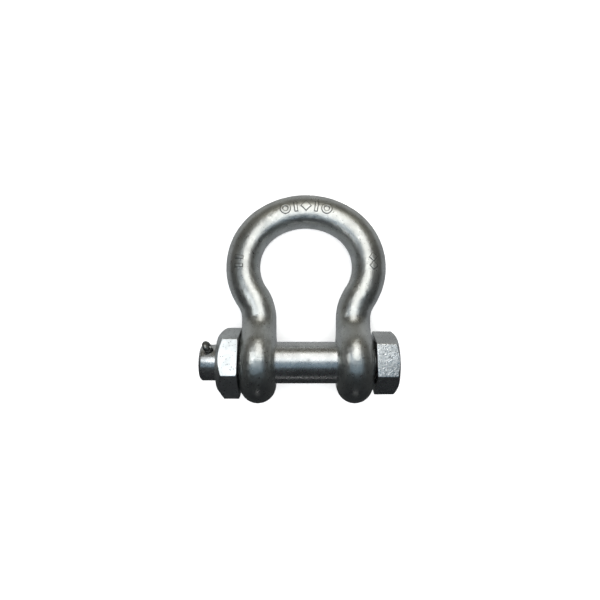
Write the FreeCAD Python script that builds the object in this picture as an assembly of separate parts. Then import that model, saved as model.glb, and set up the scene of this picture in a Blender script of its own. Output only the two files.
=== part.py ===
"""Bow shackle of the safety-bolt pattern: a forged bow, a hexagon-headed bolt, a hexagon nut and a split pin.

The shackle lies on a flat surface, as it does on a bench: both ears and the crown rest on it.
Frame, in millimetres: +X runs along the bolt towards its head, +Y from the bolt towards the crown,
+Z is up. The origin is on the bolt's axis, midway between the ears.
"""
import FreeCAD, Part
import math
import os
from FreeCAD import Vector

# ---- bow: a round bar bent into a bow, with a fat eye (ear) at each end ----
bar_d = 18.6                 # the bar is round and the same all the way round
ear_d = 42.6                 # outside of an ear, seen along the bolt
ear_width = 18.8             # an ear's rim is fully rounded over this width
ear_x = 25.3                 # middle of each ear and leg from the bow's centre line
ear_hole_d = 23.5            # the bolt passes through with room to spare
crown_reach = 83.4           # bolt's axis to the middle of the bar at the crown
crown_radius = 38.0          # of the bar's centre line over the crown
crown_half_angle = 35.0      # degrees, either side of the centre line
shoulder_radius = 29.7       # tighter bend where the crown turns down into the sides
neck_radius = 22.0           # opposite bend, from the sides back into the straight legs
leg_flare_end = 12.0         # from the bolt's axis: here the leg's flare is inside its ear
leg_flare_tuck = 0.6         # how far inside the ear it ends
leg_flare_power = 1.8        # the leg deepens slowly at first, then faster
leg_flare_sections = 6

# ---- raised forging marks on the bow's upper side ----
mark_height = 0.5            # how far a mark stands out of the bar
mark_stroke = 1.5            # width of a bar-shaped mark
mark_ring_stroke = 1.2       # width of a ring-shaped mark's wall
crown_mark_size = 5.4        # across a mark
crown_mark_pitch = 5.6       # along the bar's centre line
crown_mark_out = 0.5         # outwards from the bar's centre line
side_mark_size = 4.2
side_mark_pitch = 4.4
side_mark_out = 1.4
side_mark_turn = 88.0        # degrees from the crown's middle to the side marks

# ---- bolt ----
bolt_d = 22.0                # plain shank
head_face_x = 35.6           # underside of the head
head_thickness = 11.8
head_flats = 29.1            # across flats
head_turn = 12.0             # degrees, normal of the uppermost flat from +Z towards +Y
head_fillet = 1.0            # under the head, inside the ear's hole
thread_start_x = -33.4       # the shank ends inside the ear
thread_end_x = -46.6
end_x = -55.6                # end of the plain point
point_d = 19.0               # the plain point that the split pin crosses
end_chamfer = 0.8
thread_relief = 0.1          # length of the step from the point down to the thread's root
thread_run_out = 0.6         # the thread ends this far from the shank

# ---- thread, M22 x 2.5, right hand ----
thread_pitch = 2.5
thread_major_d = 21.8
thread_root_d = 18.9
thread_clearance = 0.2       # between the two threads, along their normals
thread_crest = thread_pitch / 8
thread_bite = 0.15           # how far the bolt's ridge is sunk into its core
flank_angle = 30.0           # degrees, each flank from the radial direction
helix_from_x = -50.0         # both helices start here, so that they stay in step
helix_length = 20.0

# ---- nut ----
nut_inner_x = -34.8          # face towards the ear
nut_thickness = 11.4
nut_flats = 33.1
nut_turn = 17.0              # degrees, normal of the uppermost flat from +Z towards +Y
nut_bore_play = 0.3          # the bore's diameter over the thread's root, beyond the clearance
nut_outer_bevel = (0.88, 38.0)    # end face's diameter as a share of the flats, and degrees from that face
nut_inner_bevel = (1.12, 30.0)    # takes off only the very corners
head_bevel = (0.97, 30.0)

# ---- split pin, 4 mm nominal ----
pin_x = -50.6                # its axis crosses the bolt's plain point here
pin_hole_d = 4.0
pin_hole_countersink = 0.35
pin_d = 3.3                  # over both legs
pin_slit = 0.14              # between the two legs
pin_turn = 50.0              # degrees, eye's direction from +Z towards +Y
pin_tail = 3.2               # long leg past the bolt
pin_short_leg = 1.4          # how much shorter the other leg is
eye_inner_radius = 1.4
eye_neck_radius = 1.6        # where each leg flares out into the eye
eye_standoff = 0.2           # straight legs above the bolt before the eye starts
eye_lean = 20.0              # degrees, eye bent towards the bolt's end

overlap = 0.3                # cutters and joined lumps run this far past each other

bar_r = bar_d / 2
ear_r = ear_d / 2
mark_top = bar_r + 2 * mark_height    # the marks' prisms start tall and are trimmed to a swollen bar
lean = math.degrees(math.asin((ear_r - bar_r) / crown_reach))    # puts ears and crown on one plane

X_AXIS = Vector(1, 0, 0)
Y_AXIS = Vector(0, 1, 0)
Z_AXIS = Vector(0, 0, 1)
ORIGIN = Vector(0, 0, 0)


def polar(centre, radius, degrees):
    """A point of a circle in the XY plane, the angle measured from +X towards +Y."""
    angle = math.radians(degrees)
    return centre + Vector(radius * math.cos(angle), radius * math.sin(angle), 0)


def arc(centre, radius, start, end):
    """Edge of a circular arc in the XY plane, from one angle to the other."""
    middle = (start + end) / 2
    points = [polar(centre, radius, a) for a in (start, middle, end)]
    return Part.Arc(*points).toShape()


def cylinder_x(diameter, x_low, x_high):
    return Part.makeCylinder(diameter / 2, x_high - x_low, Vector(x_low, 0, 0), X_AXIS)


def revolved_about_x(outline):
    """Solid of revolution about the bolt's axis; the outline's points are (x, radius)."""
    points = [Vector(x, radius, 0) for x, radius in outline]
    face = Part.Face(Part.makePolygon(points + points[:1]))
    return face.revolve(ORIGIN, X_AXIS, 360)


# ---------------------------------------------------------------- bow
crown_centre = Vector(0, crown_reach - crown_radius, 0)
shoulder_from = 90.0 - crown_half_angle
shoulder_centre = polar(crown_centre, crown_radius - shoulder_radius, shoulder_from)


def neck_geometry():
    """Centre of the right neck's bend, and the angle at which the shoulder hands over to it."""
    across = ear_x + neck_radius - shoulder_centre.x
    apart = shoulder_radius + neck_radius
    down = math.sqrt(apart ** 2 - across ** 2)
    centre = shoulder_centre + Vector(across, -down, 0)
    return centre, -math.degrees(math.atan2(down, across))


neck_centre, shoulder_to = neck_geometry()


def mirrored(vector):
    return Vector(-vector.x, vector.y, vector.z)


def bend(centre, radius, start, end):
    """Length of round bar bent about `centre`, from one angle to the next, measured from +X towards +Y."""
    at = math.radians(start)
    along = Vector(-math.sin(at), math.cos(at), 0)
    section = Part.Face(Part.Wire(Part.makeCircle(bar_r, polar(centre, radius, start), along)))
    return section.revolve(centre, Z_AXIS, end - start)


def round_bar():
    """The bar from one leg to the other: a crown, two shoulders and two necks."""
    crown = bend(crown_centre, crown_radius, shoulder_from, 180 - shoulder_from)
    return crown.fuse([
        bend(shoulder_centre, shoulder_radius, shoulder_to, shoulder_from),
        bend(mirrored(shoulder_centre), shoulder_radius, 180 - shoulder_from, 180 - shoulder_to),
        bend(neck_centre, neck_radius, 180 + shoulder_to, 180),
        bend(mirrored(neck_centre), neck_radius, 0, -shoulder_to),
    ])


def leg_flare(side):
    """The leg deepens from the round bar into its ear, and keeps its width."""
    sections = []
    top = neck_centre.y
    drop = top - leg_flare_end
    end_depth = math.sqrt(ear_r ** 2 - leg_flare_end ** 2) - leg_flare_tuck
    for step in range(leg_flare_sections):
        part = step / (leg_flare_sections - 1)
        depth = bar_r + (end_depth - bar_r) * part ** leg_flare_power
        centre = Vector(side * ear_x, top - drop * part, 0)
        if step == 0:
            edge = Part.makeCircle(bar_r, centre, Y_AXIS)
        else:
            edge = Part.Ellipse(centre + Vector(0, 0, depth), centre + Vector(bar_r, 0, 0), centre).toShape()
        sections.append(Part.Wire(edge))
    return Part.makeLoft(sections, True, False)


def ear(side):
    """A flat round eye with a fully rounded rim."""
    rim_r = ear_width / 2
    centre = Vector(side * ear_x, 0, 0)
    disc = Part.makeCylinder(ear_r - rim_r, ear_width, centre - Vector(rim_r, 0, 0), X_AXIS)
    rim = Part.makeTorus(ear_r - rim_r, rim_r, centre, X_AXIS)
    return disc.fuse(rim)


def mark_bar(size):
    return Part.makeBox(mark_stroke, size, mark_top, Vector(-mark_stroke / 2, -size / 2, 0))


def mark_diamond(size):
    side = size / math.sqrt(2)
    box = Part.makeBox(side, side, mark_top, Vector(-side / 2, -side / 2, 0))
    box.rotate(ORIGIN, Z_AXIS, 45)
    return box


def mark_ring(size):
    disc = Part.makeCylinder(size / 2, mark_top)
    return disc.cut(Part.makeCylinder(size / 2 - mark_ring_stroke, mark_top))


def row_of_marks(prisms, centre, radius, middle, pitch, out):
    """Raised marks standing in a row on a bend, evenly spaced about its angle `middle`."""
    step = math.degrees(pitch / radius)
    swell = Part.makeTorus(radius, bar_r + mark_height, centre, Z_AXIS)
    marks = []
    for index, prism in enumerate(prisms):
        angle = middle - (index - (len(prisms) - 1) / 2) * step
        prism.rotate(ORIGIN, Z_AXIS, angle - 90)
        prism.translate(polar(centre, radius + out, angle))
        marks.append(prism.common(swell))
    return marks


def forging_marks():
    """A row over the crown, two diamonds on the right side and two bars on the left."""
    crown = [shape(crown_mark_size) for shape in (mark_ring, mark_bar, mark_diamond, mark_bar, mark_ring)]
    diamonds = [mark_diamond(side_mark_size) for _ in range(2)]
    bars = [mark_bar(side_mark_size) for _ in range(2)]
    right = 90 - side_mark_turn
    left_centre = mirrored(shoulder_centre)
    rows = row_of_marks(crown, crown_centre, crown_radius, 90, crown_mark_pitch, crown_mark_out)
    rows += row_of_marks(diamonds, shoulder_centre, shoulder_radius, right, side_mark_pitch, side_mark_out)
    rows += row_of_marks(bars, left_centre, shoulder_radius, 180 - right, side_mark_pitch, side_mark_out)
    return rows


def make_bow():
    lumps = [leg_flare(-1), leg_flare(1), ear(-1), ear(1)]
    bow = round_bar().fuse(lumps)
    bow = bow.fuse(forging_marks())
    bow = bow.cut(cylinder_x(ear_hole_d, -ear_x - ear_width, ear_x + ear_width))
    bow.rotate(ORIGIN, X_AXIS, -lean)
    return bow


# ---------------------------------------------------------------- threads and hexagons
def helical_ridge(crest_r, foot_r, crest_width):
    """A thread's ridge about the bolt's axis, wider at its foot than at its crest."""
    foot_width = crest_width + 2 * (crest_r - foot_r) * math.tan(math.radians(flank_angle))
    corners = [
        Vector(foot_r, 0, -foot_width / 2),
        Vector(crest_r, 0, -crest_width / 2),
        Vector(crest_r, 0, crest_width / 2),
        Vector(foot_r, 0, foot_width / 2),
    ]
    section = Part.makePolygon(corners + corners[:1])
    helix = Part.makeHelix(thread_pitch, helix_length, foot_r)
    ridge = Part.Wire(helix).makePipeShell([section], True, True)
    ridge.rotate(ORIGIN, Y_AXIS, 90)
    ridge.translate(Vector(helix_from_x, 0, 0))
    return ridge


def hexagon(flats, x_low, x_high, turn):
    """Hexagonal prism along X with the normal of one flat turned from +Z towards +Y."""
    corner_r = flats / math.sqrt(3)
    corners = []
    for index in range(6):
        angle = math.radians(turn + 30 + 60 * index)
        corners.append(Vector(x_low, corner_r * math.sin(angle), corner_r * math.cos(angle)))
    return Part.Face(Part.makePolygon(corners + corners[:1])).extrude(Vector(x_high - x_low, 0, 0))


def corner_cones(flats, x_low, x_high, low_bevel, high_bevel):
    """Body of revolution that bevels a hexagon's corners at both ends, or at the ends that have a bevel."""
    corner_r = flats / math.sqrt(3) + overlap
    outline = [(x_low, 0)]
    for x, way, bevel in ((x_low, 1, low_bevel), (x_high, -1, high_bevel)):
        if bevel:
            face_share, angle = bevel
            face_r = flats / 2 * face_share
            drop = (corner_r - face_r) * math.tan(math.radians(angle))
            outline += [(x, face_r), (x + way * drop, corner_r)][::way]
        else:
            outline.append((x, corner_r))
    outline.append((x_high, 0))
    return revolved_about_x(outline)


# ---------------------------------------------------------------- bolt
def bolt_body():
    point_r = point_d / 2
    root_r = thread_root_d / 2
    run_in = bolt_d / 2 - root_r
    return revolved_about_x([
        (end_x, 0),
        (end_x, point_r - end_chamfer),
        (end_x + end_chamfer, point_r),
        (thread_end_x - thread_relief, point_r),
        (thread_end_x, root_r),
        (thread_start_x - run_in, root_r),
        (thread_start_x, bolt_d / 2),
        (head_face_x - head_fillet / 2, bolt_d / 2),
        (head_face_x + overlap, bolt_d / 2 + head_fillet),
        (head_face_x + overlap, 0),
    ])


def bolt_thread():
    """The ridge, cut square inside the shank and bevelled at its free end."""
    crest_r = thread_major_d / 2
    foot_r = thread_root_d / 2 - thread_bite
    ridge = helical_ridge(crest_r, foot_r, thread_crest)
    bevel = crest_r - foot_r + overlap
    envelope = revolved_about_x([
        (thread_end_x, 0),
        (thread_end_x, foot_r),
        (thread_end_x + bevel, foot_r + bevel),
        (thread_start_x - thread_run_out, foot_r + bevel),
        (thread_start_x - thread_run_out, 0),
    ])
    return ridge.common(envelope)


def pin_direction():
    angle = math.radians(pin_turn)
    return Vector(0, math.sin(angle), math.cos(angle))


def pin_hole():
    along = pin_direction()
    centre = Vector(pin_x, 0, 0)
    reach = point_d
    hole = Part.makeCylinder(pin_hole_d / 2, 2 * reach, centre - along * reach, along)
    for way in (-1, 1):
        mouth = centre + along * (way * (point_d / 2 + overlap))
        mouth_r = pin_hole_d / 2 + pin_hole_countersink + overlap
        foot_r = pin_hole_d / 2 - overlap
        hole = hole.fuse(Part.makeCone(mouth_r, foot_r, mouth_r - foot_r, mouth, along * -way))
    return hole


def make_bolt():
    head = hexagon(head_flats, head_face_x, head_face_x + head_thickness, head_turn)
    head = head.common(corner_cones(head_flats, head_face_x, head_face_x + head_thickness, None, head_bevel))
    bolt = bolt_body().fuse(head)
    bolt = bolt.fuse(bolt_thread())
    return bolt.cut(pin_hole())


# ---------------------------------------------------------------- nut
def make_nut():
    outer_x = nut_inner_x - nut_thickness
    blank = hexagon(nut_flats, outer_x, nut_inner_x, nut_turn)
    blank = blank.common(corner_cones(nut_flats, outer_x, nut_inner_x, nut_outer_bevel, nut_inner_bevel))
    bore_d = thread_root_d + 2 * thread_clearance + nut_bore_play
    groove_r = thread_major_d / 2 + thread_clearance
    foot_r = bore_d / 2 - overlap
    flank_gap = thread_clearance / math.cos(math.radians(flank_angle))
    taper = math.tan(math.radians(flank_angle))
    crest = thread_crest + 2 * flank_gap - 2 * thread_clearance * taper
    mouth = groove_r - bore_d / 2
    bore = revolved_about_x([
        (outer_x - 1, 0),
        (outer_x - 1, bore_d / 2 + mouth + 1),
        (outer_x + mouth, bore_d / 2),
        (nut_inner_x - mouth, bore_d / 2),
        (nut_inner_x + 1, bore_d / 2 + mouth + 1),
        (nut_inner_x + 1, 0),
    ])
    return blank.cut(bore.fuse(helical_ridge(groove_r, foot_r, crest)))


# ---------------------------------------------------------------- split pin
def half_round(centre, flat_normal, along):
    """Half-round section of one leg; its flat faces `flat_normal` and `along` is its direction."""
    radius = pin_d / 2 - pin_slit / 2
    across = along.cross(flat_normal)
    a = centre + across * radius
    b = centre - across * radius
    crest = centre - flat_normal * radius
    return Part.Wire([Part.Arc(a, crest, b).toShape(), Part.makeLine(b, a)])


def split_pin_leg(side, length):
    """Straight half-round leg in the plane Y across, Z along; z = 0 is where the eye starts."""
    start = Vector(0, side * pin_slit / 2, 0)
    section = Part.Face(half_round(start, Vector(0, -side, 0), Z_AXIS))
    return section.extrude(Vector(0, 0, -length))


def eye_path():
    """The eye's inner line: out from between the legs, round, and back."""
    apart = eye_inner_radius + eye_neck_radius
    across = eye_neck_radius + pin_slit / 2
    turn = math.degrees(math.acos(across / apart))
    height = math.sqrt(apart ** 2 - across ** 2)
    eye_centre = Vector(0, height, 0)
    right_neck = Vector(across, 0, 0)
    left_neck = Vector(-across, 0, 0)
    path = Part.Wire([
        arc(left_neck, eye_neck_radius, 0, turn),
        arc(eye_centre, eye_inner_radius, 180 + turn, -turn),
        arc(right_neck, eye_neck_radius, 180 - turn, 180),
    ])
    path.rotate(ORIGIN, X_AXIS, 90)
    path.rotate(ORIGIN, Z_AXIS, 90)
    return path


def split_pin_eye():
    start = Vector(0, -pin_slit / 2, 0)
    section = half_round(start, Y_AXIS, Z_AXIS)
    eye = eye_path().makePipeShell([section], True, False)
    eye.rotate(ORIGIN, Y_AXIS, -eye_lean)
    return eye


def make_split_pin():
    """Built along +Z with its eye up, then set into the bolt's cross hole."""
    above_hole = point_d / 2 + eye_standoff
    long_leg = above_hole + point_d / 2 + pin_tail
    pin = split_pin_leg(-1, long_leg).fuse(split_pin_leg(1, long_leg - pin_short_leg))
    pin = pin.fuse(split_pin_eye())
    pin.translate(Vector(0, 0, above_hole))
    pin.rotate(ORIGIN, X_AXIS, -pin_turn)
    pin.translate(Vector(pin_x, 0, 0))
    return pin


def main():
    os.makedirs("parts", exist_ok=True)
    nodes = {
        "bow": make_bow(),
        "bolt": make_bolt(),
        "nut": make_nut(),
        "split_pin": make_split_pin(),
    }
    for name, shape in nodes.items():
        box = shape.BoundBox
        print(f"{name}: solids {len(shape.Solids)}, valid {shape.isValid()}, {shape.Volume:.0f} mm3, "
              f"x {box.XMin:.2f}..{box.XMax:.2f}, y {box.YMin:.2f}..{box.YMax:.2f}, "
              f"z {box.ZMin:.2f}..{box.ZMax:.2f}")
        shape.exportStep(f"parts/{name}.step")


main()
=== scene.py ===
"""The looks of a bow shackle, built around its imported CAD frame.

Every shape below is worked out in millimetres from the sizes at the top, and turned into metres only
when its mesh is made. The frame's axes are the CAD's: +X along the bolt towards its head, +Y towards
the bow's crown, +Z up, and the origin on the bolt's axis midway between the ears.
"""
import math

import bmesh
import bpy
import numpy as np
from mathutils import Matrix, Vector, noise


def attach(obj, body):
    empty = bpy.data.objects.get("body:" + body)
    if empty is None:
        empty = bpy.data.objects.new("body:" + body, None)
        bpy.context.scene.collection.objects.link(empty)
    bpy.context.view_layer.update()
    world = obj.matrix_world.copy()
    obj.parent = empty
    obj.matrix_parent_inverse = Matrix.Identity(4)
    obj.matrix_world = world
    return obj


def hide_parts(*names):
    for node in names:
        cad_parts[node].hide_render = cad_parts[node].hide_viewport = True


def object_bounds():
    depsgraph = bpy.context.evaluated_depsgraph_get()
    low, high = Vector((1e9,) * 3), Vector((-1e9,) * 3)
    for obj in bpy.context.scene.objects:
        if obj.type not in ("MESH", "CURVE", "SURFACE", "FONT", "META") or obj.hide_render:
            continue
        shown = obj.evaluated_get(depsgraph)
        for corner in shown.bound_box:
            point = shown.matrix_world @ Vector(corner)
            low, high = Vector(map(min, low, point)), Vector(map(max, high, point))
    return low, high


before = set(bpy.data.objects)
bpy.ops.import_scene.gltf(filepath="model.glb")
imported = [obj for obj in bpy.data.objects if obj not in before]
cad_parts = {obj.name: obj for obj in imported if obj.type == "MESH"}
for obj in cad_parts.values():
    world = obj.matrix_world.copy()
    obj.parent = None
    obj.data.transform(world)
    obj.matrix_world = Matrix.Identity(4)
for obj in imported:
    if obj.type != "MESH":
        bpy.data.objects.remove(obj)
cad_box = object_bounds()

MM = 0.001

# ---- bow, millimetres ----
BAR_R = 9.3
EAR_R = 21.3
EAR_RIM_R = 9.4
EAR_X = 25.3
EAR_HOLE_R = 11.75
CROWN_REACH = 83.4
CROWN_RADIUS = 38.0
CROWN_HALF_ANGLE = math.radians(35.0)
SHOULDER_RADIUS = 29.7
NECK_RADIUS = 22.0
LEAN = math.asin((EAR_R - BAR_R) / CROWN_REACH)
FLARE_BLEND = 6.5            # how softly a leg runs into its ear
HOLE_EDGE = 1.0              # rounding of the ear hole's mouths
EAR_BLEND_LENGTH = 14.0      # a leg blends into its ear over this length above the neck's centre
EAR_SWELL_LENGTH = 8.0       # and swells from the bar's radius to the ear rim's over this one
BOW_VOXEL = 0.5
SKIN_WAVE = (0.07, 13.0)     # height and size of the forged skin's long waves
SKIN_DIMPLE = (0.045, 2.6)   # and of its dimples
SKIN_SINK = 0.05             # keeps the uneven skin inside the ideal shape

# ---- raised forging marks on the bow's upper side, millimetres ----
MARK_HEIGHT = 0.5
MARK_STROKE = 1.5
MARK_RING_STROKE = 1.2
CROWN_MARK_SIZE = 5.4
CROWN_MARK_PITCH = 5.6
CROWN_MARK_OUT = 0.5         # outwards from the bar's centre line
SIDE_MARK_SIZE = 4.2
SIDE_MARK_PITCH = 4.4
SIDE_MARK_OUT = 1.4
SIDE_MARK_TURN = math.radians(88.0)
MARK_EDGE = 0.28             # the marks' flanks slope over this width
MARK_CUTS = 3                # extra cuts of each mesh edge near a mark
FAR = 99.0                   # stands for "no mark near here"
# the material paints shade into the bow's colour where this attribute is 1
MARK_FOOT_SHADE = "mark_foot_shade"      # attribute: 1 in the corner at a mark's foot

# ---- bolt, millimetres ----
BOLT_R = 11.0
HEAD_FACE_X = 35.6
HEAD_TOP_X = 47.4
HEAD_FLATS = 29.1
HEAD_TURN = math.radians(12.0)
HEAD_BEVEL = (0.97, math.radians(30))       # end face's share of the flats, and angle from that face
BEVEL_EDGE = 0.35            # rounding between a bevel and the flats
END_EDGE = 0.25              # and between a bevel and the end face
THREAD_START_X = -33.4
THREAD_END_X = -46.6
END_X = -55.6
POINT_R = 9.5
POINT_CHAMFER = 0.8
THREAD_PITCH = 2.5
THREAD_MAJOR_R = 10.9
THREAD_ROOT_R = 9.45
FLANK = math.radians(30.0)
HELIX_FROM_X = -50.0
CREST_EDGE = 0.15
ROOT_EDGE = 0.2
THREAD_STEP = 0.14           # between rings along a thread
BLEMISH = (1.0, 2.5, 10.7)   # on top of the shank

# ---- nut, millimetres ----
NUT_INNER_X = -34.8
NUT_OUTER_X = -46.2
NUT_FLATS = 33.1
NUT_TURN = math.radians(17.0)
NUT_OUTER_BEVEL = (0.88, math.radians(38))
NUT_INNER_BEVEL = (1.12, math.radians(30))
THREAD_CLEARANCE = 0.2
NUT_BORE_R = 9.8

# ---- split pin, millimetres ----
PIN_X = -50.6
PIN_R = 1.65
PIN_SLIT = 0.14
PIN_HOLE_R = 2.0
PIN_HOLE_FLARE = 0.35
PIN_CUTTER_REACH = 14.0
PIN_TURN = math.radians(50.0)
PIN_TAIL = 3.2
PIN_SHORT_LEG = 1.4
EYE_INNER_R = 1.4
EYE_NECK_R = 1.6
EYE_LEAN = math.radians(20.0)
EYE_STANDOFF = 0.2
EYE_LEAN_LENGTH = 1.5        # the wire takes up its lean over this height
WIRE_STEP = 0.5
WIRE_ARC_STEP = 0.12         # radians


# ================================================================ mesh helpers
def mesh_object(name, points_mm, faces):
    """A smooth-shaded mesh object from points in millimetres and faces of their indices."""
    mesh = bpy.data.meshes.new(name)
    mesh.from_pydata([tuple(p) for p in np.asarray(points_mm) * MM], [], faces)
    mesh.validate()
    mesh.update()
    mesh.polygons.foreach_set("use_smooth", [True] * len(mesh.polygons))
    piece = bpy.data.objects.new(name, mesh)
    bpy.context.scene.collection.objects.link(piece)
    return piece


def apply_modifiers(piece):
    """Freezes a piece's modifiers into its mesh."""
    depsgraph = bpy.context.evaluated_depsgraph_get()
    evaluated = piece.evaluated_get(depsgraph)
    mesh = bpy.data.meshes.new_from_object(evaluated, depsgraph=depsgraph)
    piece.modifiers.clear()
    piece.data = mesh
    mesh.polygons.foreach_set("use_smooth", [True] * len(mesh.polygons))
    return piece


def fractal(points, size, seed, octaves=2):
    """Seeded noise from about -1 to 1 at each point. `size` is its largest features' size, in the points'
    unit."""
    offset = Vector((17.3 * seed, 5.1 * seed, 9.7 * seed))
    values = np.empty(len(points))
    for index, point in enumerate(points):
        place = Vector(point) / size + offset
        total = 0.0
        weight = 1.0
        for _ in range(octaves):
            total += weight * noise.noise(place)
            place = place * 2.03
            weight *= 0.5
        values[index] = total
    return values


def smooth_min(a, b, k):
    """The smaller of a and b, rounded over where they are within k of each other."""
    h = np.clip(1 - np.abs(a - b) / k, 0, 1)
    return np.minimum(a, b) - h * h * k / 4


def smooth_max(a, b, k):
    return -smooth_min(-a, -b, k)


# ================================================================ bow
def bow_centres():
    """Centres of the crown's, shoulder's and neck's bends in the bow's plane, and the angle at which the
    shoulder hands over to the neck."""
    crown = np.array([0.0, CROWN_REACH - CROWN_RADIUS])
    start = math.pi / 2 - CROWN_HALF_ANGLE
    shoulder = crown + (CROWN_RADIUS - SHOULDER_RADIUS) * np.array([math.cos(start), math.sin(start)])
    across = EAR_X + NECK_RADIUS - shoulder[0]
    down = math.sqrt((SHOULDER_RADIUS + NECK_RADIUS) ** 2 - across ** 2)
    neck = shoulder + np.array([across, -down])
    return crown, shoulder, neck, -math.atan2(down, across)


CROWN_C, SHOULDER_C, NECK_C, HANDOVER = bow_centres()


def along_and_across(x, s):
    """For points of the bow's plane, on its right half: distance from the crown along the bar's centre line,
    and signed distance out from it."""
    crown_dx, crown_ds = x - CROWN_C[0], s - CROWN_C[1]
    crown_turn = np.arctan2(crown_dx, crown_ds)
    shoulder_dx, shoulder_ds = x - SHOULDER_C[0], s - SHOULDER_C[1]
    shoulder_turn = np.arctan2(shoulder_dx, shoulder_ds)
    neck_dx, neck_ds = x - NECK_C[0], s - NECK_C[1]
    neck_turn = np.arctan2(neck_ds, -neck_dx)
    last_turn = math.pi / 2 - HANDOVER
    crown_len = CROWN_RADIUS * CROWN_HALF_ANGLE
    shoulder_len = SHOULDER_RADIUS * (last_turn - CROWN_HALF_ANGLE)
    neck_len = NECK_RADIUS * -HANDOVER

    along = CROWN_RADIUS * crown_turn
    across = np.hypot(crown_dx, crown_ds) - CROWN_RADIUS
    on_shoulder = crown_turn > CROWN_HALF_ANGLE
    along = np.where(on_shoulder, crown_len + SHOULDER_RADIUS * (shoulder_turn - CROWN_HALF_ANGLE), along)
    across = np.where(on_shoulder, np.hypot(shoulder_dx, shoulder_ds) - SHOULDER_RADIUS, across)
    hand_x = SHOULDER_C[0] + SHOULDER_RADIUS * math.cos(HANDOVER)
    hand_s = SHOULDER_C[1] + SHOULDER_RADIUS * math.sin(HANDOVER)
    past_hand = (x - hand_x) * math.sin(HANDOVER) - (s - hand_s) * math.cos(HANDOVER) > 0
    on_neck = (s < SHOULDER_C[1]) & past_hand
    along = np.where(on_neck, crown_len + shoulder_len + neck_len - NECK_RADIUS * neck_turn, along)
    across = np.where(on_neck, NECK_RADIUS - np.hypot(neck_dx, neck_ds), across)
    on_leg = on_neck & (s < NECK_C[1])
    along = np.where(on_leg, crown_len + shoulder_len + neck_len + NECK_C[1] - s, along)
    across = np.where(on_leg, x - EAR_X, across)
    return along, across


def bow_distance(points):
    """Signed distance, about, from points in the bow's own plane frame to the bow's smooth skin."""
    x = np.abs(points[:, 0])
    s = points[:, 1]
    n = points[:, 2]
    along, across = along_and_across(x, s)
    leg = np.hypot(np.minimum(s, 0), n)
    disc = np.hypot(s, n) - (EAR_R - EAR_RIM_R)
    near_ear = np.clip((NECK_C[1] + EAR_BLEND_LENGTH - s) / EAR_BLEND_LENGTH, 0, 1)
    blend = np.maximum(FLARE_BLEND * near_ear, 0.01)
    depth = np.where(near_ear > 0, smooth_min(leg, disc, blend), leg)
    depth = np.maximum(depth, 0)
    ear_share = np.clip((NECK_C[1] - s) / EAR_SWELL_LENGTH, 0, 1)
    radius = BAR_R + (EAR_RIM_R - BAR_R) * ear_share
    skin = np.hypot(across, depth) - radius
    hole = EAR_HOLE_R - np.hypot(s, n)
    return smooth_max(skin, hole, HOLE_EDGE)


def settle_on(points, distance, rounds=4):
    """Moves points on to the surface where `distance` is zero, and returns them with its normals."""
    step = 0.02
    for _ in range(rounds):
        here = distance(points)
        slope = np.stack([
            (distance(points + step * axis) - distance(points - step * axis)) / (2 * step)
            for axis in np.eye(3)
        ], axis=1)
        steep = np.maximum((slope ** 2).sum(1), 0.05)
        points = points - slope * (here / steep)[:, None]
    return points, slope / np.sqrt(steep)[:, None]


def box_distance(u, v, half_u, half_v):
    """Signed distance to a rectangle's outline."""
    past_u, past_v = np.abs(u) - half_u, np.abs(v) - half_v
    outside = np.hypot(np.maximum(past_u, 0), np.maximum(past_v, 0))
    return outside + np.minimum(np.maximum(past_u, past_v), 0)


def bar_mark(u, v, size):
    return box_distance(u, v, MARK_STROKE / 2, size / 2)


def diamond_mark(u, v, size):
    half = size / math.sqrt(2) / 2
    return box_distance((u + v) / math.sqrt(2), (u - v) / math.sqrt(2), half, half)


def ring_mark(u, v, size):
    middle = (size - MARK_RING_STROKE) / 2
    return np.abs(np.hypot(u, v) - middle) - MARK_RING_STROKE / 2


def mark_places():
    """Each mark's outline and size, its place along the bar from the crown's middle, and out from it."""
    side = CROWN_RADIUS * CROWN_HALF_ANGLE + SHOULDER_RADIUS * (SIDE_MARK_TURN - CROWN_HALF_ANGLE)
    crown = (ring_mark, bar_mark, diamond_mark, bar_mark, ring_mark)
    places = [(mark, CROWN_MARK_SIZE, (index - 2) * CROWN_MARK_PITCH, CROWN_MARK_OUT)
              for index, mark in enumerate(crown)]
    for step in (-0.5, 0.5):
        places.append((diamond_mark, SIDE_MARK_SIZE, side + step * SIDE_MARK_PITCH, SIDE_MARK_OUT))
        places.append((bar_mark, SIDE_MARK_SIZE, -side + step * SIDE_MARK_PITCH, SIDE_MARK_OUT))
    return places


def mark_distance(points):
    """Distance from points of the bow's plane frame to the nearest mark's outline, negative inside it."""
    along, across = along_and_across(np.abs(points[:, 0]), points[:, 1])
    along = np.copysign(along, points[:, 0])
    nearest = np.full(len(points), FAR)
    for mark, size, place, out in mark_places():
        nearest = np.minimum(nearest, mark(along - place, across - out, size))
    return np.where(points[:, 2] > 0, nearest, FAR)


def bow_relief(points):
    """How far the forged skin stands out of the ideal shape, in millimetres."""
    wave = SKIN_WAVE[0] * fractal(points, SKIN_WAVE[1], seed=1, octaves=1)
    dimple = SKIN_DIMPLE[0] * fractal(points, SKIN_DIMPLE[1], seed=2, octaves=2)
    rise = np.clip(0.5 - mark_distance(points) / MARK_EDGE, 0, 1)
    mark = MARK_HEIGHT * rise * rise * (3 - 2 * rise)
    return wave + dimple - SKIN_SINK + mark


def level_points(mesh):
    """A bow mesh's points in millimetres, in the frame where its plane is level, and that frame."""
    co = np.empty(len(mesh.vertices) * 3)
    mesh.vertices.foreach_get("co", co)
    cos, sin = math.cos(LEAN), math.sin(LEAN)
    level = np.array([[1, 0, 0], [0, cos, -sin], [0, sin, cos]])
    return (co.reshape(-1, 3) / MM) @ level.T, level


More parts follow.
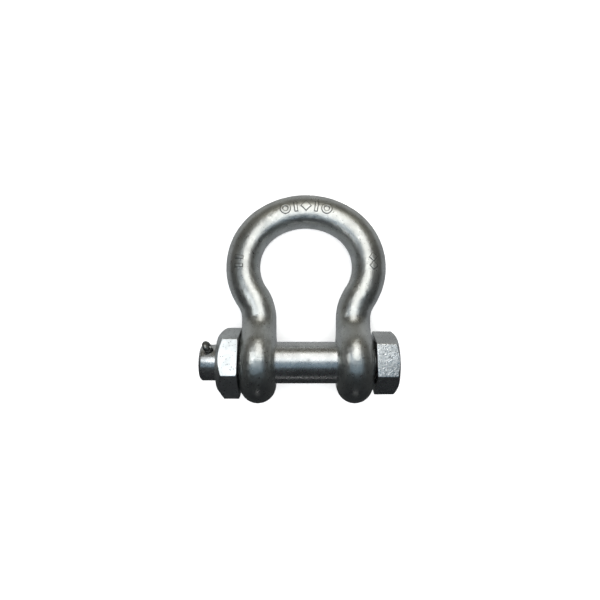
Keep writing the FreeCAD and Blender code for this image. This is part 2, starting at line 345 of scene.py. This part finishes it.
def refine_near_marks(mesh):
    """Splits the faces around the raised marks, so that their edges can be sharp."""
    points, _ = level_points(mesh)
    near = mark_distance(points) < 2 * MARK_EDGE
    work = bmesh.new()
    work.from_mesh(mesh)
    work.verts.ensure_lookup_table()
    edges = [edge for edge in work.edges if near[edge.verts[0].index] or near[edge.verts[1].index]]
    bmesh.ops.subdivide_edges(work, edges=edges, cuts=MARK_CUTS, use_grid_fill=True)
    work.to_mesh(mesh)
    work.free()


def make_bow():
    """The CAD bow meshed afresh, settled on the ideal skin, and given its forged relief and marks."""
    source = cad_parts["bow"]
    bow = bpy.data.objects.new("bow_forging", source.data.copy())
    bpy.context.scene.collection.objects.link(bow)
    remesh = bow.modifiers.new("voxels", "REMESH")
    remesh.mode = "VOXEL"
    remesh.voxel_size = BOW_VOXEL * MM
    apply_modifiers(bow)
    mesh = bow.data
    refine_near_marks(mesh)
    points, level = level_points(mesh)
    points, normals = settle_on(points, bow_distance)
    points = points + normals * bow_relief(points)[:, None]
    # painted shade: 1 along each mark's foot, where the material darkens the colour
    foot_shade = np.clip(1 - np.abs(mark_distance(points) / MARK_EDGE - 0.5), 0, 1)
    mesh.attributes.new(MARK_FOOT_SHADE, "FLOAT", "POINT").data.foreach_set("value", foot_shade)
    mesh.vertices.foreach_set("co", (points @ level * MM).ravel())
    mesh.update()
    mesh.polygons.foreach_set("use_smooth", [True] * len(mesh.polygons))
    return bow


# ================================================================ turned and hexagonal pieces
SECTOR_STEPS = 34


def turned_angles(turn):
    """Angles about the bolt's axis, from +Z towards +Y, closer together near a hexagon's corners."""
    steps = np.arange(SECTOR_STEPS) / SECTOR_STEPS
    within = math.radians(60) * (0.5 - 0.5 * np.cos(math.pi * steps))
    return np.concatenate([turn + math.radians(30 + 60 * side) + within for side in range(6)])


def turned(name, rings, angles, closed=False):
    """Skin through rings about the bolt's axis. A ring is (x, radii), one radius per angle or one for all;
    an open skin's first and last rings have radius 0."""
    count = len(angles)
    points = []
    starts = []
    for x, radii in rings:
        starts.append(len(points))
        if np.isscalar(radii) and radii == 0:
            points.append((x, 0, 0))
            continue
        xs = np.broadcast_to(x, count)
        radii = np.broadcast_to(radii, count)
        points += zip(xs, radii * np.sin(angles), radii * np.cos(angles))
    faces = []
    pairs = list(zip(range(len(rings)), range(1, len(rings))))
    if closed:
        pairs.append((len(rings) - 1, 0))
    for first, second in pairs:
        a, b = starts[first], starts[second]
        for i in range(count):
            j = (i + 1) % count
            if np.isscalar(rings[first][1]) and rings[first][1] == 0:
                faces.append((a, b + j, b + i))
            elif np.isscalar(rings[second][1]) and rings[second][1] == 0:
                faces.append((a + i, a + j, b))
            else:
                faces.append((a + i, a + j, b + j, b + i))
    return mesh_object(name, points, faces)


def hexagon_radius(angles, flats, turn, edge=0.4):
    """Radius of a hexagon with rounded corners; `edge` sets how round."""
    inside = np.mod(angles - turn + math.pi / 6, math.pi / 3)
    one = flats / 2 / np.cos(inside - math.pi / 6)
    turn_on = flats / 2 / np.cos(math.pi / 6 + np.minimum(inside, math.pi / 3 - inside))
    return smooth_min(one, turn_on, edge)


def corner_round(distance, radius):
    """How far a rounded edge falls back at this distance from the face beside it."""
    short = np.clip(radius - distance, 0, radius)
    return radius - math.sqrt(radius ** 2 - short ** 2)


def bevelled(hexagon, flats, distance, bevel):
    """A hexagon's radius this far from an end face that is bevelled to a circle."""
    share, angle = bevel
    cone = flats / 2 * share + distance / math.tan(angle)
    return smooth_min(hexagon, np.full_like(hexagon, cone), BEVEL_EDGE) - corner_round(distance, END_EDGE)


def thread_depth(x, angles, crest_width):
    """Distance along the axis from each point to the nearest crest's edge, negative on the crest."""
    # the CAD's helix starts at -Z and climbs a pitch for each turn that takes -Z towards +Y
    turn = np.mod(math.pi - angles, 2 * math.pi)
    phase = (x - HELIX_FROM_X) / THREAD_PITCH - turn / (2 * math.pi)
    off_crest = np.abs(phase - np.round(phase)) * THREAD_PITCH
    return off_crest - crest_width / 2


def bolt_thread_radius(x, angles):
    fall = thread_depth(x, angles, THREAD_PITCH / 8) / math.tan(FLANK)
    ridge = smooth_min(THREAD_MAJOR_R - fall, np.full_like(fall, THREAD_MAJOR_R), CREST_EDGE)
    return smooth_max(ridge, np.full_like(ridge, THREAD_ROOT_R), ROOT_EDGE)


def spaced(start, end, step):
    """Evenly spaced values from start to end, both included, no further apart than step."""
    return np.linspace(start, end, max(2, int(math.ceil(abs(end - start) / step)) + 1))


def bolt_rings(angles):
    """From the middle of the point's end, along the thread and shank, to the middle of the head's top."""
    rings = [(END_X + 0.05, 0)]
    chamfer = POINT_CHAMFER
    face_r = POINT_R - chamfer
    rings += [(END_X, face_r * share) for share in (0.2, 0.4, 0.6, 0.8, 0.93)]
    rings += [(END_X + 0.02, face_r), (END_X + 0.1, face_r + 0.12)]
    rings += [(END_X + share * chamfer, face_r + share * chamfer) for share in (0.35, 0.65)]
    rings += [(END_X + chamfer, POINT_R - 0.1), (END_X + chamfer + 0.15, POINT_R)]
    rings += [(x, POINT_R) for x in spaced(END_X + 1.4, THREAD_END_X - 0.15, 0.5)]
    for x in spaced(THREAD_END_X, THREAD_START_X - 1.0, THREAD_STEP):
        lead_in = THREAD_ROOT_R + (x - THREAD_END_X)
        radii = np.minimum(bolt_thread_radius(x, angles), max(lead_in, THREAD_ROOT_R))
        rings.append((x, radii))
    rings += [(THREAD_START_X - 0.9, THREAD_ROOT_R + 0.4), (THREAD_START_X, BOLT_R - 0.15)]
    rings += [(x, BOLT_R) for x in spaced(THREAD_START_X + 0.3, HEAD_FACE_X - 0.9, 0.8)]
    rings += [(HEAD_FACE_X - 0.4, BOLT_R + 0.1), (HEAD_FACE_X - 0.08, BOLT_R + 0.4)]
    hexagon = hexagon_radius(angles, HEAD_FLATS, HEAD_TURN)
    inner = BOLT_R + 0.6
    for share in (0.0, 0.35, 0.7, 0.92, 1.0):
        rings.append((HEAD_FACE_X, inner + (hexagon - 0.35 - inner) * share))
    for rise in (0.08, 0.2, 0.35, 0.6):
        rings.append((HEAD_FACE_X + rise, hexagon - corner_round(rise, 0.35)))
    for x in spaced(HEAD_FACE_X + 1.2, HEAD_TOP_X - 2.2, 0.7):
        rings.append((x, hexagon))
    for distance in (2.0, 1.8, 1.6, 1.4, 1.2, 1.0, 0.85, 0.7, 0.55, 0.4, 0.3, 0.2, 0.1, 0.04, 0.0):
        rings.append((HEAD_TOP_X - distance, bevelled(hexagon, HEAD_FLATS, distance, HEAD_BEVEL)))
    rim = bevelled(hexagon, HEAD_FLATS, 0.0, HEAD_BEVEL)
    rings += [(HEAD_TOP_X, rim * share) for share in (0.97, 0.9, 0.75, 0.6, 0.45, 0.3, 0.15)]
    rings.append((HEAD_TOP_X, 0))
    return rings


def make_bolt():
    """The turned and forged bolt, with the split pin's hole cut through its point."""
    angles = turned_angles(HEAD_TURN)
    bolt = turned("bolt_body", bolt_rings(angles), angles)
    hole = pin_hole_tool()
    cut = bolt.modifiers.new("hole", "BOOLEAN")
    cut.object = hole
    cut.solver = "EXACT"
    apply_modifiers(bolt)
    bpy.data.objects.remove(hole)
    return bolt


def nut_thread_radius(x, angles):
    gap = THREAD_CLEARANCE / math.cos(FLANK) - THREAD_CLEARANCE * math.tan(FLANK)
    fall = thread_depth(x, angles, THREAD_PITCH / 8 + 2 * gap) / math.tan(FLANK)
    top = THREAD_MAJOR_R + THREAD_CLEARANCE
    groove = smooth_min(top - fall, np.full_like(fall, top), CREST_EDGE)
    return smooth_max(groove, np.full_like(groove, NUT_BORE_R), ROOT_EDGE)


def nut_rings(angles):
    """Outside from the ear's side to the free side, then back through the threaded bore."""
    hexagon = hexagon_radius(angles, NUT_FLATS, NUT_TURN)
    near_end = np.array([0.0, 0.04, 0.1, 0.2, 0.3, 0.4, 0.55, 0.7, 0.85, 1.0])
    bevel_end = np.concatenate([near_end, spaced(1.15, 4.0, 0.15)])
    rings = [(NUT_INNER_X - d, bevelled(hexagon, NUT_FLATS, d, NUT_INNER_BEVEL)) for d in near_end]
    rings += [(x, hexagon) for x in spaced(NUT_INNER_X - 1.5, NUT_OUTER_X + 4.5, 0.7)]
    rings += [(NUT_OUTER_X + d, bevelled(hexagon, NUT_FLATS, d, NUT_OUTER_BEVEL)) for d in bevel_end[::-1]]
    mouth = THREAD_MAJOR_R + THREAD_CLEARANCE
    shares = (0.96, 0.8, 0.55, 0.3, 0.1, 0.0)
    rim = bevelled(hexagon, NUT_FLATS, 0.0, NUT_OUTER_BEVEL)
    rings += [(NUT_OUTER_X, mouth + (rim - mouth) * share) for share in shares]
    for x in spaced(NUT_OUTER_X + 0.1, NUT_INNER_X - 0.1, THREAD_STEP):
        countersink = np.full_like(angles, mouth - min(x - NUT_OUTER_X, NUT_INNER_X - x))
        rings.append((x, smooth_max(nut_thread_radius(x, angles), countersink, CREST_EDGE)))
    rim = bevelled(hexagon, NUT_FLATS, 0.0, NUT_INNER_BEVEL)
    rings += [(NUT_INNER_X, mouth + (rim - mouth) * share) for share in reversed(shares)]
    return rings


def make_nut():
    angles = turned_angles(NUT_TURN)
    return turned("nut_body", nut_rings(angles), angles, closed=True)


# ================================================================ split pin
def pin_frame(points):
    """Takes points of the pin's own frame, eye up along +Z and opening along +X, to its place in the bolt."""
    c, s = math.cos(PIN_TURN), math.sin(PIN_TURN)
    x, y, z = points[:, 0], points[:, 1], points[:, 2]
    return np.stack([PIN_X + x, y * c + z * s, z * c - y * s], axis=1)


def pin_hole_tool():
    """A round cutter with a small countersink at both mouths."""
    count = 48
    turn = np.arange(count) * 2 * math.pi / count
    flare = PIN_HOLE_FLARE
    mouth = PIN_HOLE_R + flare + 0.1
    profile = [(-PIN_CUTTER_REACH, mouth), (-POINT_R - 0.1, mouth), (-POINT_R + flare, PIN_HOLE_R),
               (POINT_R - flare, PIN_HOLE_R), (POINT_R + 0.1, mouth), (PIN_CUTTER_REACH, mouth)]
    points = []
    for z, radius in profile:
        points += zip(radius * np.cos(turn), radius * np.sin(turn), np.full(count, z))
    faces = [tuple(range(count))[::-1], tuple(range(count * (len(profile) - 1), count * len(profile)))]
    for level in range(len(profile) - 1):
        a = level * count
        b = a + count
        faces += [(a + i, a + (i + 1) % count, b + (i + 1) % count, b + i) for i in range(count)]
    return mesh_object("pin_hole_tool", pin_frame(np.array(points)), faces)


def arc_path(centre, radius, start, end, quarter):
    """Points of the wire's path past an arc's start, each heading a quarter turn from its radius."""
    turns = spaced(start, end, WIRE_ARC_STEP)[1:]
    return [(centre[0] + radius * math.cos(t), centre[1] + radius * math.sin(t), t + quarter) for t in turns]


def wire_path():
    """The split pin's inner line as (across, up, direction of travel), tip to tip round the eye."""
    half_slit = PIN_SLIT / 2
    neck = POINT_R + EYE_STANDOFF
    across = EYE_NECK_R + half_slit
    apart = EYE_INNER_R + EYE_NECK_R
    turn = math.acos(across / apart)
    eye_up = neck + math.sqrt(apart ** 2 - across ** 2)
    tail = POINT_R + PIN_TAIL
    ahead = math.pi / 2
    path = [(-half_slit, z, ahead) for z in spaced(-tail, neck, WIRE_STEP)]
    path += arc_path((-across, neck), EYE_NECK_R, 0, turn, ahead)
    path += arc_path((0, eye_up), EYE_INNER_R, math.pi + turn, -turn, -ahead)
    path += arc_path((across, neck), EYE_NECK_R, math.pi - turn, math.pi, ahead)
    short = tail - PIN_SHORT_LEG
    path += [(half_slit, z, -ahead) for z in spaced(neck, -short, WIRE_STEP)[1:]]
    return path


def half_round_section():
    """Outline of the wire: (out, sideways) from the middle of its flat, rounded where the flat ends."""
    radius = PIN_R - PIN_SLIT / 2
    turns = spaced(math.radians(-78), math.radians(78), math.radians(13))
    outline = [(radius * math.cos(t) * 0.985 + 0.02, radius * math.sin(t)) for t in turns]
    edge = radius * 0.93
    outline += [(0.0, edge * share) for share in (1.0, 0.5, 0.0, -0.5, -1.0)]
    return outline


def make_split_pin():
    """The wire's section carried along its path, with the eye leaned over towards the bolt's end."""
    section = half_round_section()
    path = wire_path()
    count = len(section)
    last = len(path) - 1
    bend_from = POINT_R + EYE_STANDOFF
    points = []
    for index, (across, up, heading) in enumerate(path):
        out_x, out_z = -math.sin(heading), math.cos(heading)
        tip = min(index, last - index)
        taper = 0.8 if tip == 0 else 1.0
        for out, side in section:
            points.append((side * taper, across + out * out_x * taper, up + out * out_z * taper))
    points = np.array(points)
    rise = points[:, 2] - bend_from
    lean = EYE_LEAN * np.clip(rise / EYE_LEAN_LENGTH, 0, 1)
    points[:, 0] = points[:, 0] - np.sin(lean) * np.maximum(rise, 0)
    points[:, 2] = np.where(rise > 0, bend_from + rise * np.cos(lean), points[:, 2])
    faces = [tuple(range(count)), tuple(range(last * count, (last + 1) * count))[::-1]]
    for level in range(last):
        a = level * count
        b = a + count
        faces += [(a + i, b + i, b + (i + 1) % count, a + (i + 1) % count) for i in range(count)]
    return mesh_object("split_pin_wire", pin_frame(points), faces)


# ================================================================ materials
class Nodes:
    """Short way to add and join the nodes of one material."""

    def __init__(self, material):
        material.use_nodes = True
        self.tree = material.node_tree
        self.shader = self.tree.nodes["Principled BSDF"]

    def add(self, kind, inputs=None, **settings):
        node = self.tree.nodes.new(kind)
        for name, value in settings.items():
            setattr(node, name, value)
        for name, value in (inputs or {}).items():
            self.put(node, name, value)
        return node

    def put(self, node, name, value):
        if isinstance(value, bpy.types.NodeSocket):
            self.tree.links.new(value, node.inputs[name])
        else:
            node.inputs[name].default_value = value

    def noise(self, where, size_mm, detail=3.0, roughness=0.55, distortion=0.0):
        node = self.add("ShaderNodeTexNoise", {
            "Vector": where, "Scale": 1 / (size_mm * MM), "Detail": detail, "Roughness": roughness,
            "Distortion": distortion})
        return node.outputs["Fac"]

    def remap(self, value, low, high, to_low, to_high):
        node = self.add("ShaderNodeMapRange", {
            "Value": value, "From Min": low, "From Max": high, "To Min": to_low, "To Max": to_high})
        return node.outputs["Result"]

    def math(self, operation, a, b):
        node = self.add("ShaderNodeMath", operation=operation)
        self.put(node, 0, a)
        self.put(node, 1, b)
        return node.outputs[0]

    def mix(self, factor, a, b):
        node = self.add("ShaderNodeMix", data_type="RGBA")
        self.put(node, "Factor", factor)
        self.put(node, 6, a)
        self.put(node, 7, b)
        return node.outputs[2]

    def bump(self, height, depth_mm, normal=None):
        inputs = {"Height": height, "Strength": 1.0, "Distance": depth_mm * MM}
        if normal is not None:
            inputs["Normal"] = normal
        return self.add("ShaderNodeBump", inputs).outputs["Normal"]


class Plating:
    """A metal skin: satin and faintly blotched, to which relief, specks, stains and painted shade are added.
    """

    def __init__(self, name, tone, roughness):
        self.material = bpy.data.materials.new(name)
        self.nodes = Nodes(self.material)
        self.tone = tone
        self.where = self.nodes.add("ShaderNodeTexCoord").outputs["Object"]
        blotch = self.nodes.noise(self.where, 9.0, 4.0)
        pale = [min(1.0, c * 1.08) for c in tone] + [1]
        self.colour = self.nodes.mix(self.nodes.remap(blotch, 0.35, 0.65, 0, 1), self.shade(0.84), pale)
        cloud = self.nodes.noise(self.where, 2.2)
        self.roughness = self.nodes.remap(cloud, 0.3, 0.7, roughness - 0.05, roughness + 0.08)
        self.normal = None
        self.nodes.shader.inputs["Metallic"].default_value = 1.0

    def shade(self, share):
        return [c * share for c in self.tone] + [1]

    def relief(self, size_mm, depth_mm, detail=3.0, mask=None, distortion=0.0):
        """Uneven skin, as deep as depth_mm, everywhere or where the mask is 1."""
        height = self.nodes.noise(self.where, size_mm, detail, 0.55, distortion)
        if mask is not None:
            height = self.nodes.math("MULTIPLY", height, mask)
        self.normal = self.nodes.bump(height, depth_mm, self.normal)

    def specks(self, size_mm, fewer, share=0.45, mask=None):
        """Small dull spots; `fewer` runs from 0.5, half of the skin, to 0.8, almost none."""
        spot = self.nodes.remap(self.nodes.noise(self.where, size_mm, 2.0, 0.5), fewer, fewer + 0.06, 0, 1)
        self.stain_and_shade(spot if mask is None else self.nodes.math("MULTIPLY", spot, mask), share)

    # Darkens the colour and roughens the skin where spot is 1: real stains and specks, and painted shade at
    # the marks' feet.
    def stain_and_shade(self, spot, share):
        self.colour = self.nodes.mix(spot, self.colour, self.shade(share))
        self.roughness = self.nodes.math("ADD", self.roughness, self.nodes.math("MULTIPLY", spot, 0.15))

    def turning_lines(self, pitch_mm, depth_mm):
        """Faint rings left by the lathe, which vary only along the bolt's axis."""
        split = self.nodes.add("ShaderNodeSeparateXYZ", {"Vector": self.where})
        line = self.nodes.add("ShaderNodeCombineXYZ", {"X": split.outputs["X"]}).outputs[0]
        self.normal = self.nodes.bump(self.nodes.noise(line, pitch_mm, 4.0, 0.7), depth_mm, self.normal)

    def mask(self, axis, none_at_mm, full_at_mm):
        """0 on one side and 1 on the other of a place along an axis, with an even change between."""
        split = self.nodes.add("ShaderNodeSeparateXYZ", {"Vector": self.where})
        return self.nodes.remap(split.outputs[axis], none_at_mm * MM, full_at_mm * MM, 0, 1)

    def near(self, place_mm, radius_mm):
        """A mask that fades from 1 at a point to 0 at radius_mm from it."""
        gap = self.nodes.add("ShaderNodeVectorMath", operation="DISTANCE")
        self.nodes.put(gap, 0, self.where)
        self.nodes.put(gap, 1, Vector(place_mm) * MM)
        return self.nodes.remap(gap.outputs["Value"], 0, radius_mm * MM, 1, 0)

    def attribute(self, name):
        return self.nodes.add("ShaderNodeAttribute", attribute_name=name).outputs["Fac"]

    def finish(self):
        self.nodes.put(self.nodes.shader, "Base Color", self.colour)
        self.nodes.put(self.nodes.shader, "Roughness", self.roughness)
        self.nodes.put(self.nodes.shader, "Normal", self.normal)
        return self.material


def bow_plating():
    """Forged skin: dimpled, with painted shade and a rougher finish in the corners round the raised marks."""
    skin = Plating("zinc_forging", (0.68, 0.69, 0.67), 0.31)
    skin.relief(1.9, 0.035)
    skin.relief(1.1, 0.075, distortion=0.6)
    skin.specks(0.9, 0.66)
    # painted shade: darkens the colour at the marks' feet, where real shade would fall, and roughens it
    skin.stain_and_shade(skin.attribute(MARK_FOOT_SHADE), 0.3)
    return skin.finish()


def bolt_plating():
    """Turned shank with a small blemish, an uneven point, and a forged head with a wrinkled skin."""
    skin = Plating("zinc_bolt", (0.71, 0.72, 0.72), 0.27)
    head = skin.mask("X", HEAD_FACE_X, HEAD_FACE_X + 0.2)
    skin.relief(2.6, 0.16, detail=1.0, mask=head, distortion=2.5)
    skin.relief(0.4, 0.02, mask=head)
    skin.specks(0.8, 0.60, 0.6, mask=head)
    point = skin.mask("X", THREAD_END_X, THREAD_END_X - 0.5)
    skin.relief(1.0, 0.045, mask=point)
    skin.relief(2.0, 0.004)
    skin.turning_lines(0.35, 0.003)
    blemish = skin.near(BLEMISH, 1.2)
    skin.specks(0.5, 0.50, 0.5, mask=blemish)
    return skin.finish()


def nut_plating():
    """Rougher than the bolt, with dark pits where the zinc is thin."""
    skin = Plating("zinc_nut", (0.72, 0.74, 0.74), 0.34)
    skin.relief(1.6, 0.03)
    skin.relief(0.3, 0.012)
    skin.specks(0.9, 0.64, 0.35)
    return skin.finish()


def pin_wire():
    """Plain steel wire, dark and a little dirty."""
    skin = Plating("dark_wire", (0.26, 0.26, 0.25), 0.33)
    skin.relief(1.2, 0.02)
    skin.relief(0.2, 0.01)
    skin.specks(0.6, 0.56, 0.5)
    return skin.finish()


def dress(piece, material, slot, body, *replaced):
    """Gives a piece its material, the CAD nodes it stands in for and the body it moves with; slot is not
    used.
    """
    piece.data.materials.clear()
    piece.data.materials.append(material)
    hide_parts(*replaced)
    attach(piece, body)


# ================================================================ floor, light and camera
FLOOR_HALF = 2.5
FLOOR_GLOW = 0.35
ROOM_BEHIND_BOLT = (0.020, 0.022, 0.024, 1)
ROOM_MIDDLE = (0.055, 0.058, 0.058, 1)
ROOM_BEYOND_CROWN = (0.15, 0.145, 0.125, 1)
CAMERA_PLACE = (-0.0033, 0.0333, 0.240)
CAMERA_LENS = 27.0           # mm, over a sensor 36 mm wide
DOWN, BOLT_TO_CROWN, UP = 0.0, math.radians(90), math.radians(180)


def make_floor():
    """A wide pale floor. It glows a little, which keeps the shadows light, and the steel doesn't mirror
    it."""
    low = cad_box[0][2]
    half = FLOOR_HALF
    corners = [(-half, -half, low), (half, -half, low), (half, half, low), (-half, half, low)]
    mesh = bpy.data.meshes.new("pale_floor")
    mesh.from_pydata(corners, [], [(0, 1, 2, 3)])
    floor = bpy.data.objects.new("pale_floor", mesh)
    bpy.context.scene.collection.objects.link(floor)
    material = bpy.data.materials.new("pale_floor")
    shader = Nodes(material).shader
    shader.inputs["Base Color"].default_value = (0.93, 0.93, 0.93, 1)
    shader.inputs["Roughness"].default_value = 0.9
    shader.inputs["Emission Color"].default_value = (1, 1, 1, 1)
    shader.inputs["Emission Strength"].default_value = FLOOR_GLOW
    mesh.materials.append(material)
    floor.visible_glossy = False


def panel(name, place, size, brightness, colour=(1, 1, 1), facing=DOWN):
    """A flat soft light that the camera doesn't see; its brightness is that of its face, seen in a mirror."""
    data = bpy.data.lights.new(name, "AREA")
    data.shape = "RECTANGLE"
    data.size, data.size_y = size
    data.energy = brightness * math.pi * size[0] * size[1]
    data.color = colour
    lamp = bpy.data.objects.new(name, data)
    lamp.location = place
    lamp.rotation_euler.x = facing
    lamp.visible_camera = False
    bpy.context.scene.collection.objects.link(lamp)
    return lamp


def make_lights():
    """Close soft boxes over the bow and the nut, with a cool bounce on the bolt's side and a warm one beyond
    the crown. The floor wash lights only what is dull. The last two panels are what the steel mirrors low
    down, and light nothing else."""
    panel("key", (0.018, 0.114, 0.12), (0.100, 0.165), 1.55, (1.0, 1.0, 0.98))
    panel("nut_card", (-0.050, 0.029, 0.066), (0.034, 0.036), 1.7, (1.0, 1.0, 0.98))
    panel("side_bounce", (-0.068, 0.065, 0.12), (0.072, 0.09), 0.30, (0.85, 0.97, 1.1))
    panel("cool_bounce", (0.0, 0.010, 0.13), (0.20, 0.11), 0.24, (0.64, 0.93, 1.18))
    panel("warm_bounce", (0.03, 0.235, 0.13), (0.22, 0.12), 0.2, (1.06, 1.0, 0.76))
    wash = panel("floor_wash", (0, 0.03, 1.0), (1.6, 1.6), 2.3)
    wash.visible_glossy = False
    sweep = panel("grey_sweep", (0, 0.294, cad_box[0][2]), (1.0, 0.612), 0.25, (0.93, 0.98, 1.03), UP)
    strip = panel("low_strip", (0, -0.6, 0.085), (0.11, 0.03), 1.3, (1, 1, 1), BOLT_TO_CROWN)
    for lamp in (sweep, strip):
        lamp.visible_diffuse = False


def make_world():
    """A dim room: warmer beyond the crown, cooler and darker behind the bolt."""
    world = bpy.data.worlds.new("room")
    bpy.context.scene.world = world
    world.use_nodes = True
    tree = world.node_tree
    where = tree.nodes.new("ShaderNodeTexCoord")
    split = tree.nodes.new("ShaderNodeSeparateXYZ")
    ramp = tree.nodes.new("ShaderNodeValToRGB")
    span = tree.nodes.new("ShaderNodeMapRange")
    span.inputs["From Min"].default_value = -1
    tree.links.new(where.outputs["Generated"], split.inputs[0])
    tree.links.new(split.outputs["Y"], span.inputs["Value"])
    tree.links.new(span.outputs["Result"], ramp.inputs["Fac"])
    tree.links.new(ramp.outputs["Color"], tree.nodes["Background"].inputs["Color"])
    ramp.color_ramp.elements[0].color = ROOM_BEHIND_BOLT
    ramp.color_ramp.elements[1].color = ROOM_BEYOND_CROWN
    middle = ramp.color_ramp.elements.new(0.5)
    middle.color = ROOM_MIDDLE


def make_camera():
    """Straight above the shackle, close, a little towards the crown."""
    data = bpy.data.cameras.new("camera")
    data.lens = CAMERA_LENS
    data.sensor_width = 36.0
    data.clip_start = 0.01
    camera = bpy.data.objects.new("camera", data)
    camera.location = CAMERA_PLACE
    bpy.context.scene.collection.objects.link(camera)
    bpy.context.scene.camera = camera


bow_material = bow_plating()
bolt_material = bolt_plating()
nut_material = nut_plating()
pin_material = pin_wire()

dress(make_bow(), bow_material, "bow_steel", "bow", "bow")
dress(make_bolt(), bolt_material, "bolt_steel", "bolt", "bolt")
dress(make_nut(), nut_material, "nut_steel", "nut", "nut")
dress(make_split_pin(), pin_material, "split_pin_steel", "split_pin", "split_pin")
for node, material in (("bow", bow_material), ("bolt", bolt_material), ("nut", nut_material),
                       ("split_pin", pin_material)):
    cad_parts[node].data.materials.clear()
    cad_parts[node].data.materials.append(material)

make_floor()
make_lights()
make_world()
make_camera()
bpy.context.scene.view_settings.view_transform = "Standard"
